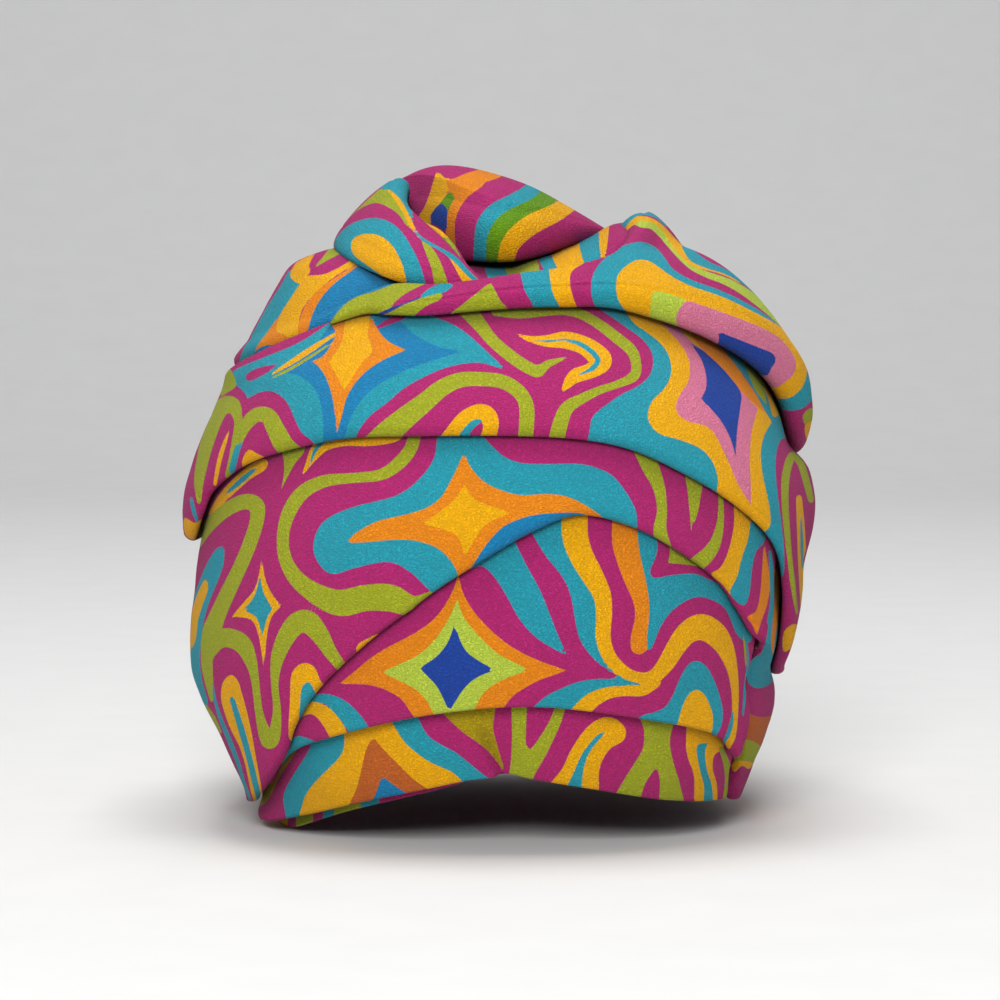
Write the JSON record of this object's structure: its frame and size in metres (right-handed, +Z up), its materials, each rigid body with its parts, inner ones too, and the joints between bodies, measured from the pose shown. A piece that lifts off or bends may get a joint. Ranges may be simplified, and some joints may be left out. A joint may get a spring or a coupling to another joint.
{
  "type": "head wrap",
  "caption": "Head wrap of printed cloth, wound in broad folded bands that cross over the brow and end in a thick roll and a hood-like bundle on the crown.",
  "frame": {"origin": "the head seat: the middle of the wrap at the level of the front hem, where the wearer's head comes in from below", "axes": "+Z up towards the crown, -Y out of the wearer's face, +X to the right as seen from the front (the wearer's left)"},
  "size_m": [0.2303, 0.2524, 0.2363],
  "materials": {
    "inner_cloth": "matt printed cotton, the wrap's innermost turn",
    "printed_cloth": "matt printed cotton crepe in magenta, teal, lime, yellow and orange"
  },
  "bodies": {
    "root": {"crown_cap": "inner_cloth", "crown_wrap": "printed_cloth", "brow_band": "printed_cloth", "front_cross": "printed_cloth", "left_wrap": "printed_cloth", "middle_wrap": "printed_cloth", "left_drape": "printed_cloth", "right_roll": "printed_cloth", "front_fold": "printed_cloth", "knot_lip": "printed_cloth", "top_roll": "printed_cloth"}
  },
  "joints": []
}
